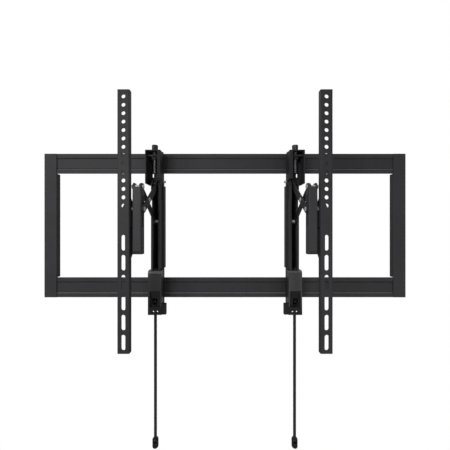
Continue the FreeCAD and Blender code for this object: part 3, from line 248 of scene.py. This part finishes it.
thread_heights = np.arange(SCREW_END + THREAD_START, THREAD_END, THREAD_STEP)
screw_rings = [
    (SCREW_END, SCREW_RADIUS - POINT_TAPER, 0),
    *[(height, SCREW_RADIUS, 0) for height in thread_heights],
    (CLIP_FLOOR, SCREW_RADIUS, 0),
    (CLIP_FLOOR, NECK_RADIUS, 0),
    (CLIP_TOP, NECK_RADIUS, 0),
    (CLIP_TOP, SCREW_RADIUS, 0),
    (SCREW_SEAT + GRIP_LAP, SCREW_RADIUS, 0),
]
grip_rings = [
    (SCREW_SEAT, HEAD_RADIUS - SEAT_BEVEL, 0),
    (SCREW_SEAT + SEAT_BEVEL, HEAD_RADIUS, 0),
    (SCREW_SEAT + FLUTE_MARGIN - FLUTE_EDGE, HEAD_RADIUS, 0),
    (SCREW_SEAT + FLUTE_MARGIN + FLUTE_EDGE, HEAD_RADIUS, 0),
    (SCREW_CREST - FLUTE_MARGIN - FLUTE_EDGE, HEAD_RADIUS, 0),
    (SCREW_CREST - FLUTE_MARGIN + FLUTE_EDGE, HEAD_RADIUS, 0),
    (SCREW_CREST - CREST_BEVEL, HEAD_RADIUS, 0),
    (SCREW_CREST, HEAD_RADIUS - CREST_BEVEL, 0),
    (SCREW_CREST, SOCKET_CORNER, 1),
    (SCREW_CREST - SOCKET_DEPTH, SOCKET_CORNER, 1),
]
nut_rings = [
    (NUT_FLOOR, NUT_BORE, 0),
    (NUT_FLOOR, NUT_FACE, 0),
    (NUT_FLOOR + NUT_BEVEL, NUT_CORNER, 1),
    (NUT_TOP - NUT_BEVEL, NUT_CORNER, 1),
    (NUT_TOP, NUT_FACE, 0),
    (NUT_TOP, NUT_BORE, 0),
]
rivet_rings = [(-0.4, 2.7, 0), (2.8, 2.7, 0), (3.7, 2.4, 0), (4.3, 1.6, 0), (4.6, 0.5, 0)]
hardware, grips, rivet_heads = {}, {}, {}
for word, side in SIDES:
    points = turned_points((side * SCREW_OUT, -SCREW_DEPTH, 0), (0, 0, 1), screw_rings, screw_relief)
    screw = piece_from_grid(f"{word}_threaded_screw", points, cap_ends=True, crease=35)
    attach(screw, f"{word}_screw")
    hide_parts(f"{word}_level_screw")
    points = turned_points((side * SCREW_OUT, -SCREW_DEPTH, 0), (0, 0, 1), grip_rings, screw_relief)
    grip = piece_from_grid(f"{word}_screw_grip", points, cap_ends=True, crease=35)
    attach(grip, f"{word}_screw")
    grips[word] = grip
    points = turned_points((side * POST_OUT, -POST_DEPTH, 0), (0, 0, 1), nut_rings)
    nut = piece_from_grid(f"{word}_hexagon_nut", points, close_along=True, crease=25)
    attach(nut, f"{word}_arm")
    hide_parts(f"{word}_post_nut")
    points = turned_points((side * RIVET_OUT, -RIVET_DEPTH, RIVET_HEIGHT), (-side, 0, 0), rivet_rings)
    rivet = piece_from_grid(f"{word}_housing_rivet", points, cap_ends=True, crease=50)
    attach(rivet, f"{word}_arm")
    hardware[word] = [screw, nut]
    rivet_heads[word] = rivet
print("screw:", len(screw.data.polygons), "faces, nut:", len(nut.data.polygons), "faces")

# %% [markdown]
# The latch spring is a helix of wire whose last turns lie close, as on a ground spring. Its top rests
# under the latch's roof and its foot on the bolt.

# %% Latch springs
SPRING_OUT, SPRING_DEPTH = 140, 24
SPRING_FOOT, SPRING_TOP = -146.2, -94
SPRING_RADIUS, WIRE_RADIUS = 3.4, 0.6
OPEN_TURNS, CLOSED_TURNS, CLOSED_PITCH = 10, 1.5, 2.05
SPRING_ROWS, WIRE_COLUMNS = 900, 16


def spring_points(place):
    """A tube round the helix (R cos a, R sin a, h(a)). h climbs about one wire width a turn in the closed
    turns at each end, and evenly through the open turns between them."""
    turns = OPEN_TURNS + 2 * CLOSED_TURNS
    closed = CLOSED_TURNS * CLOSED_PITCH * WIRE_RADIUS
    span = SPRING_TOP - SPRING_FOOT - 2 * WIRE_RADIUS
    stations = [0, CLOSED_TURNS, turns - CLOSED_TURNS, turns]
    turn = np.linspace(0, turns, SPRING_ROWS)
    height = WIRE_RADIUS + np.interp(turn, stations, [0, closed, span - closed, span])
    angle = 2 * np.pi * turn
    spoke = np.stack([np.cos(angle), np.sin(angle), np.zeros_like(angle)], -1)
    middle = SPRING_RADIUS * spoke + height[:, None] * np.array([0, 0, 1])
    heading = np.gradient(middle, axis=0)
    heading /= np.linalg.norm(heading, axis=1, keepdims=True)
    other = np.cross(heading, spoke)
    round_wire = np.linspace(0, 2 * np.pi, WIRE_COLUMNS, endpoint=False)[None, :, None]
    ring = np.cos(round_wire) * spoke[:, None] + np.sin(round_wire) * other[:, None]
    return (np.array(place) + middle[:, None] + WIRE_RADIUS * ring) * MM


for word, side in SIDES:
    coil = piece_from_grid(f"{word}_coil", spring_points((side * SPRING_OUT, -SPRING_DEPTH, SPRING_FOOT)),
                           cap_ends=True)
    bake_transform(coil)
    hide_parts(f"{word}_latch_spring")
    hardware[word].append(coil)
print("spring:", len(coil.data.polygons), "faces")

# %% [markdown]
# Finishes come next. Every finish is a small node tree, and one helper adds a node with its settings and
# links. Colours are written as sRGB hex codes, as a paint card gives them, and turned to the linear
# values that light adds up in.


# %% Helpers for finishes
def hex_colour(code):
    """A #rrggbb code as linear red, green, blue and alpha."""
    values = np.array([int(code[start:start + 2], 16) for start in (1, 3, 5)]) / 255
    linear = np.where(values <= 0.04045, values / 12.92, ((values + 0.055) / 1.055) ** 2.4)
    return (*linear.tolist(), 1.0)


def put(tree, kind, inputs=None, **settings):
    """Adds one node, sets its properties, then sets or links its inputs by name or number."""
    made = tree.nodes.new(kind)
    for key, value in settings.items():
        setattr(made, key, value)
    for key, value in (inputs or {}).items():
        if isinstance(value, bpy.types.NodeSocket):
            tree.links.new(value, made.inputs[key])
        else:
            made.inputs[key].default_value = value
    return made


def new_finish(name, **sockets):
    """A material with one shader whose constant sockets are set directly, and its Object coordinates."""
    material = bpy.data.materials.new(name)
    material.use_nodes = True
    tree = material.node_tree
    tree.nodes.clear()
    shader = put(tree, "ShaderNodeBsdfPrincipled", sockets)
    put(tree, "ShaderNodeOutputMaterial", {"Surface": shader.outputs["BSDF"]})
    place = put(tree, "ShaderNodeTexCoord").outputs["Object"]
    return material, tree, shader, place


def grain(size_mm):
    """The texture scale at which one grain of noise is about that many millimetres."""
    return 1 / (size_mm * MM)


# %% [markdown]
# The folded steel is powder coated: a dry black powder, baked until it flows into a skin with a fine
# orange peel. That gives a soft, grey sheen with no mirror in it, tiny speckle, and slightly paler folds
# and cut edges, partly where the coat is thin and partly as a painted edge highlight. The Bevel node finds
# those edges. Where the rails' round bends turn upwards, a paler colour paints the highlight that light
# from above puts there, which draws a thin line along each rail. The peel is drawn at 1.2 mm, coarser
# than the real 0.4 mm, so that it shows.


# %% Black powder coat
CLOUD_MM, PEEL_MM = 45, 1.2
EDGE_STARTS, EDGE_FULL = 0.99, 0.8


def edge_wear_and_highlight(tree, radius_mm):
    """A value that rises along sharp edges, for paler edges that are partly wear and partly painted
    highlight:
    the Bevel node rounds the normal there, and the value grows as the rounded normal turns away from the
    true one."""
    rounded = put(tree, "ShaderNodeBevel", {"Radius": radius_mm * MM}, samples=6)
    true_normal = put(tree, "ShaderNodeNewGeometry").outputs["True Normal"]
    agree = put(tree, "ShaderNodeVectorMath", {0: rounded.outputs[0], 1: true_normal},
                operation="DOT_PRODUCT")
    worn_and_highlit = put(tree, "ShaderNodeMapRange",
               {"Value": agree.outputs["Value"], "From Min": EDGE_STARTS, "From Max": EDGE_FULL})
    return rounded.outputs[0], worn_and_highlit.outputs[0]


def blend_colours(tree, factor, first, second):
    """A colour between two others. Each may be a hex code or a colour socket."""
    mix = put(tree, "ShaderNodeMix", {0: factor}, data_type="RGBA")
    for socket, value in ((6, first), (7, second)):
        if isinstance(value, str):
            mix.inputs[socket].default_value = hex_colour(value)
        else:
            tree.links.new(value, mix.inputs[socket])
    return mix.outputs[2]


def painted_top_highlight(tree):
    """A painted highlight mask: one where a surface leans upwards, towards light from above, and nought on
    upright and on level faces.
    """
    normal = put(tree, "ShaderNodeNewGeometry").outputs["Normal"]
    lean = put(tree, "ShaderNodeSeparateXYZ", {0: normal}).outputs["Z"]
    rise = put(tree, "ShaderNodeMapRange", {"Value": lean, "From Min": 0.15, "From Max": 0.5})
    fall = put(tree, "ShaderNodeMapRange", {"Value": lean, "From Min": 0.97, "From Max": 0.88})
    both = put(tree, "ShaderNodeMath", {0: rise.outputs[0], 1: fall.outputs[0]}, operation="MULTIPLY")
    return both.outputs[0]


def powder_coat(name, dark, pale, edge, gloss, edge_mm=0.7, top_highlight=None):
    """Black powder coat from two close greys, a paler edge that is partly wear and partly painted
    highlight, and a roughness about the given one. A top highlight colour, when given, paints a highlight
    where round bends lean upwards."""
    material, tree, shader, place = new_finish(name, **{"Specular IOR Level": 0.12})
    cloud = put(tree, "ShaderNodeTexNoise", {"Vector": place, "Scale": grain(CLOUD_MM), "Detail": 3.0})
    peel = put(tree, "ShaderNodeTexNoise", {"Vector": place, "Scale": grain(PEEL_MM), "Detail": 2.0})
    both = put(tree, "ShaderNodeMath", {0: cloud.outputs[0], 1: peel.outputs[0]}, operation="ADD")
    share = put(tree, "ShaderNodeMapRange", {"Value": both.outputs[0], "From Min": 0.7, "From Max": 1.3})
    tone = blend_colours(tree, share.outputs[0], dark, pale)
    # Paler edges: partly wear of a thin coat, partly a painted edge highlight.
    rounded, worn_and_highlit = edge_wear_and_highlight(tree, edge_mm)
    tone = blend_colours(tree, worn_and_highlit, tone, edge)
    # Painted highlight: a paler colour where the surface leans upwards, towards the light from above.
    if top_highlight is not None:
        tone = blend_colours(tree, painted_top_highlight(tree), tone, top_highlight)
    tree.links.new(tone, shader.inputs["Base Color"])
    rough = put(tree, "ShaderNodeMapRange",
                {"Value": peel.outputs[0], "To Min": gloss - 0.08, "To Max": gloss + 0.08})
    tree.links.new(rough.outputs[0], shader.inputs["Roughness"])
    bump = put(tree, "ShaderNodeBump", {"Height": peel.outputs[0], "Normal": rounded, "Strength": 0.25,
                                        "Distance": 0.15 * MM})
    tree.links.new(bump.outputs[0], shader.inputs["Normal"])
    return material


# On the rails the last grey, #747476, is a painted highlight along their upward-leaning bends.
rail_coat = powder_coat("black_powder_coat_on_rails", "#38383a", "#3f3f41", "#4a4a4c", 0.5, 0.7, "#747476")
arm_coat = powder_coat("black_powder_coat_on_arms", "#2e2e30", "#353537", "#505052", 0.45)
# The links' pale edge grey, #6c6c6e, is partly wear and partly a painted highlight along their edges.
link_coat = powder_coat("black_powder_coat_on_links", "#212123", "#272729", "#6c6c6e", 0.45, 1.0)
latch_coat = powder_coat("black_powder_coat_on_latches", "#232325", "#29292b", "#464648", 0.45)
bar_coat = powder_coat("black_powder_coat_on_bars", "#343436", "#3b3b3d", "#505052", 0.48)
carrier_coat = powder_coat("black_powder_coat_on_carriers", "#3a3a3c", "#414143", "#565658", 0.45)
print("finishes:", rail_coat.name, arm_coat.name, bar_coat.name)

# %% [markdown]
# Level screws, nuts, clips, springs and the rivets of the frame and the bars are zinc plated steel: a
# bright metal, slightly cloudy. The scissor's lower pins, its cross rivets, the upper pins of the carriers
# and the housings' rivet heads have a thicker, pale passivated zinc. It scatters light more than it mirrors
# it, so they stay bright against the black coat. Posts, bolts, upper wall pins and screw grips are black
# oxide steel, a dark metal that is worn brighter on its edges.

# %% Zinc plate and black oxide
zinc, tree, shader, place = new_finish("zinc_plated_steel", Metallic=1.0)
cloud = put(tree, "ShaderNodeTexNoise", {"Vector": place, "Scale": grain(2.5), "Detail": 4.0})
tree.links.new(blend_colours(tree, cloud.outputs[0], "#8d8e90", "#a9aaab"), shader.inputs["Base Color"])
rough = put(tree, "ShaderNodeMapRange", {"Value": cloud.outputs[0], "To Min": 0.26, "To Max": 0.44})
tree.links.new(rough.outputs[0], shader.inputs["Roughness"])

dull_zinc, tree, shader, place = new_finish("passivated_zinc", Metallic=0.35, Roughness=0.42)
cloud = put(tree, "ShaderNodeTexNoise", {"Vector": place, "Scale": grain(1.5), "Detail": 3.0})
tree.links.new(blend_colours(tree, cloud.outputs[0], "#c6c7c9", "#dadbdc"), shader.inputs["Base Color"])

oxide, tree, shader, place = new_finish("black_oxide_steel", Metallic=1.0)
cloud = put(tree, "ShaderNodeTexNoise", {"Vector": place, "Scale": grain(1.5), "Detail": 3.0})
rounded, worn_and_highlit = edge_wear_and_highlight(tree, 0.4)
tone = blend_colours(tree, cloud.outputs[0], "#2c2d2f", "#3d3e41")
tree.links.new(blend_colours(tree, worn_and_highlit, tone, "#66676a"), shader.inputs["Base Color"])
rough = put(tree, "ShaderNodeMapRange", {"Value": cloud.outputs[0], "To Min": 0.28, "To Max": 0.45})
tree.links.new(rough.outputs[0], shader.inputs["Roughness"])
tree.links.new(rounded, shader.inputs["Normal"])
print("finishes:", zinc.name, dull_zinc.name, oxide.name)


# %% [markdown]
# The snap-in rail covers and the latch parts are moulded plastic with a fine spark-eroded texture: dark,
# with rounded edges that catch the light. The latch covers shine more, and a paler colour paints a
# highlight where their crowns turn upwards. The cord is braided polyester, with painted shade, near black,
# in the grooves between the ridges.

# %% Plastics and braid
def moulded(name, dark, pale, texture_mm, gloss, shine, top_highlight=None):
    """Moulded plastic: two close greys, a fine pitted texture of the given size, and how much it shines. A
    top highlight colour, when given, paints a highlight where rounded edges lean upwards."""
    material, tree, shader, place = new_finish(name, **{"Specular IOR Level": shine})
    pits = put(tree, "ShaderNodeTexVoronoi", {"Vector": place, "Scale": grain(texture_mm)})
    cloud = put(tree, "ShaderNodeTexNoise", {"Vector": place, "Scale": grain(20), "Detail": 2.0})
    tone = blend_colours(tree, cloud.outputs[0], dark, pale)
    # Painted highlight: a paler colour where the surface leans upwards, towards the light from above.
    if top_highlight is not None:
        tone = blend_colours(tree, painted_top_highlight(tree), tone, top_highlight)
    tree.links.new(tone, shader.inputs["Base Color"])
    rough = put(tree, "ShaderNodeMapRange",
                {"Value": cloud.outputs[0], "To Min": gloss - 0.06, "To Max": gloss + 0.06})
    tree.links.new(rough.outputs[0], shader.inputs["Roughness"])
    rounded = put(tree, "ShaderNodeBevel", {"Radius": 0.5 * MM}, samples=6)
    bump = put(tree, "ShaderNodeBump", {"Height": pits.outputs["Distance"], "Normal": rounded.outputs[0],
                                        "Strength": 0.2, "Distance": 0.1 * MM})
    tree.links.new(bump.outputs[0], shader.inputs["Normal"])
    return material


cover_plastic = moulded("moulded_abs_cover", "#313133", "#38383a", 0.8, 0.55, 0.2)
# The latch cover's last grey, #626264, is a painted highlight on its upward-leaning crown.
latch_plastic = moulded("moulded_glass_nylon", "#272729", "#2d2d2f", 0.7, 0.34, 0.5, "#626264")
nylon = moulded("moulded_black_nylon", "#101012", "#161618", 0.8, 0.42, 0.3)

braid, tree, shader, place = new_finish(
    "braided_polyester", **{"Sheen Weight": 0.25, "Sheen Roughness": 0.4, "Specular IOR Level": 0.2})
height = put(tree, "ShaderNodeAttribute", attribute_name="braid_height").outputs["Fac"]
fibre = put(tree, "ShaderNodeTexNoise", {"Vector": place, "Scale": grain(0.5), "Detail": 2.0})
strand = blend_colours(tree, fibre.outputs[0], "#2c2c2e", "#3a3a3c")
# Painted shade: the grooves between the strands are painted near black, #08080a, for the shade that falls
# in them.
share = put(tree, "ShaderNodeMapRange", {"Value": height, "From Min": 0.35, "From Max": 0.9})
tree.links.new(blend_colours(tree, share.outputs[0], "#08080a", strand), shader.inputs["Base Color"])
rough = put(tree, "ShaderNodeMapRange", {"Value": fibre.outputs[0], "To Min": 0.6, "To Max": 0.8})
tree.links.new(rough.outputs[0], shader.inputs["Roughness"])
print("finishes:", cover_plastic.name, nylon.name, braid.name)

# %% [markdown]
# Every node gets its finish by the piece that it is.

# %% Dress the nodes
FINISHES = {
    "rail": rail_coat, "end_plate": rail_coat, "rail_cover": cover_plastic, "plate_rivets": zinc,
    "hook": arm_coat, "level_screw": oxide, "screw_clip": zinc, "top_housing": arm_coat,
    "swivel_post": oxide, "post_nut": zinc, "swing_channel": arm_coat, "upper_wall_pin": oxide,
    "falling_link": link_coat, "rising_link": link_coat, "cross_rivet": dull_zinc,
    "lower_wall_pin": dull_zinc, "lower_tv_pin": dull_zinc, "upper_tv_pin": dull_zinc,
    "carrier_box": carrier_coat, "tilt_block": arm_coat, "tilt_bolts": oxide, "tilt_bracket": bar_coat,
    "vesa_bar": bar_coat, "bar_rivets": zinc, "latch_base": latch_coat, "latch_cover": latch_plastic,
    "latch_bolt": nylon, "latch_spring": zinc, "pull_cord": braid, "cord_pull": nylon,
}


def wear(piece, material):
    """Gives a piece one finish, in place of any that it had."""
    piece.data.materials.clear()
    piece.data.materials.append(material)


for name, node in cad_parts.items():
    where, _, plain = name.partition("_")
    wear(node, FINISHES[plain if where in ("left", "right", "top", "bottom") else name])
for word, side in SIDES:
    wear(cords[word], braid)
    wear(grips[word], oxide)
    wear(rivet_heads[word], dull_zinc)
    for piece in hardware[word]:
        wear(piece, zinc)
print("dressed", len(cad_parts), "nodes")

# %% [markdown]
# The studio: a plain pale floor far below, a white surround, two large soft lamps in front, one above and
# two behind for the sides and the back. The stronger front lamp stands on the left. The surround is white
# to the eye and a quarter as bright in reflections. What it gives as light is kept low, so that folds and
# insides stay dark, as in the photograph.

# %% Studio
FLOOR_DROP = 1.2
FLOOR_RADIUS = 0.74
FLOOR_GLOW = 0.5
FLOOR_EYE, FLOOR_COLUMNS = 0.0001, 96
REFLECTED_SHARE = 0.25
SURROUND_LIGHT = 0.04

world = bpy.data.worlds.new("studio")
world.use_nodes = True
scene.world = world
tree = world.node_tree
tree.nodes.clear()
path = put(tree, "ShaderNodeLightPath")
reflected = put(tree, "ShaderNodeMath", {0: path.outputs["Is Glossy Ray"], 1: REFLECTED_SHARE},
                operation="MULTIPLY")
seen = put(tree, "ShaderNodeMath",
           {0: path.outputs["Is Camera Ray"], 1: path.outputs["Is Transmission Ray"]}, operation="MAXIMUM")
seen = put(tree, "ShaderNodeMath", {0: seen.outputs[0], 1: reflected.outputs[0]}, operation="MAXIMUM")
white = put(tree, "ShaderNodeBackground", {"Color": (1, 1, 1, 1), "Strength": 1.0})
dim = put(tree, "ShaderNodeBackground", {"Color": (1, 1, 1, 1), "Strength": SURROUND_LIGHT})
both = put(tree, "ShaderNodeMixShader", {0: seen.outputs[0], 1: dim.outputs[0], 2: white.outputs[0]})
put(tree, "ShaderNodeOutputWorld", {"Surface": both.outputs[0]})

turn = np.linspace(0, 2 * np.pi, FLOOR_COLUMNS, endpoint=False)
reach = np.array([FLOOR_EYE, FLOOR_RADIUS])
disc = np.stack([reach[:, None] * np.cos(turn), reach[:, None] * np.sin(turn),
                 np.full((2, FLOOR_COLUMNS), -FLOOR_DROP)], -1)
floor = piece_from_grid("floor", disc)
pale, tree, shader, place = new_finish("pale_floor", Roughness=0.8)
shader.inputs["Base Color"].default_value = hex_colour("#ececec")
shader.inputs["Emission Color"].default_value = (1, 1, 1, 1)
path = put(tree, "ShaderNodeLightPath")
glow = put(tree, "ShaderNodeMath", {0: path.outputs["Is Camera Ray"], 1: FLOOR_GLOW}, operation="MULTIPLY")
tree.links.new(glow.outputs[0], shader.inputs["Emission Strength"])
wear(floor, pale)


def soft_lamp(name, place, size, power):
    """A square area lamp that faces the middle of the mount."""
    lamp = bpy.data.lights.new(name, "AREA")
    lamp.size = size
    lamp.energy = power
    made = bpy.data.objects.new(name, lamp)
    made.location = place
    toward = -made.location
    made.rotation_euler = toward.to_track_quat("-Z", "Y").to_euler()
    scene.collection.objects.link(made)


soft_lamp("key_lamp", (-0.9, -1.75, 0.4), 1.0, 22)
soft_lamp("fill_lamp", (0.9, -1.7, -0.4), 1.2, 8)
soft_lamp("top_lamp", (0.0, -0.3, 1.8), 1.0, 7)
for word, side in SIDES:
    soft_lamp(f"{word}_back_lamp", (side * 1.3, 1.2, 1.3), 0.9, 12)
scene.view_settings.view_transform = "Standard"
print("studio ready")
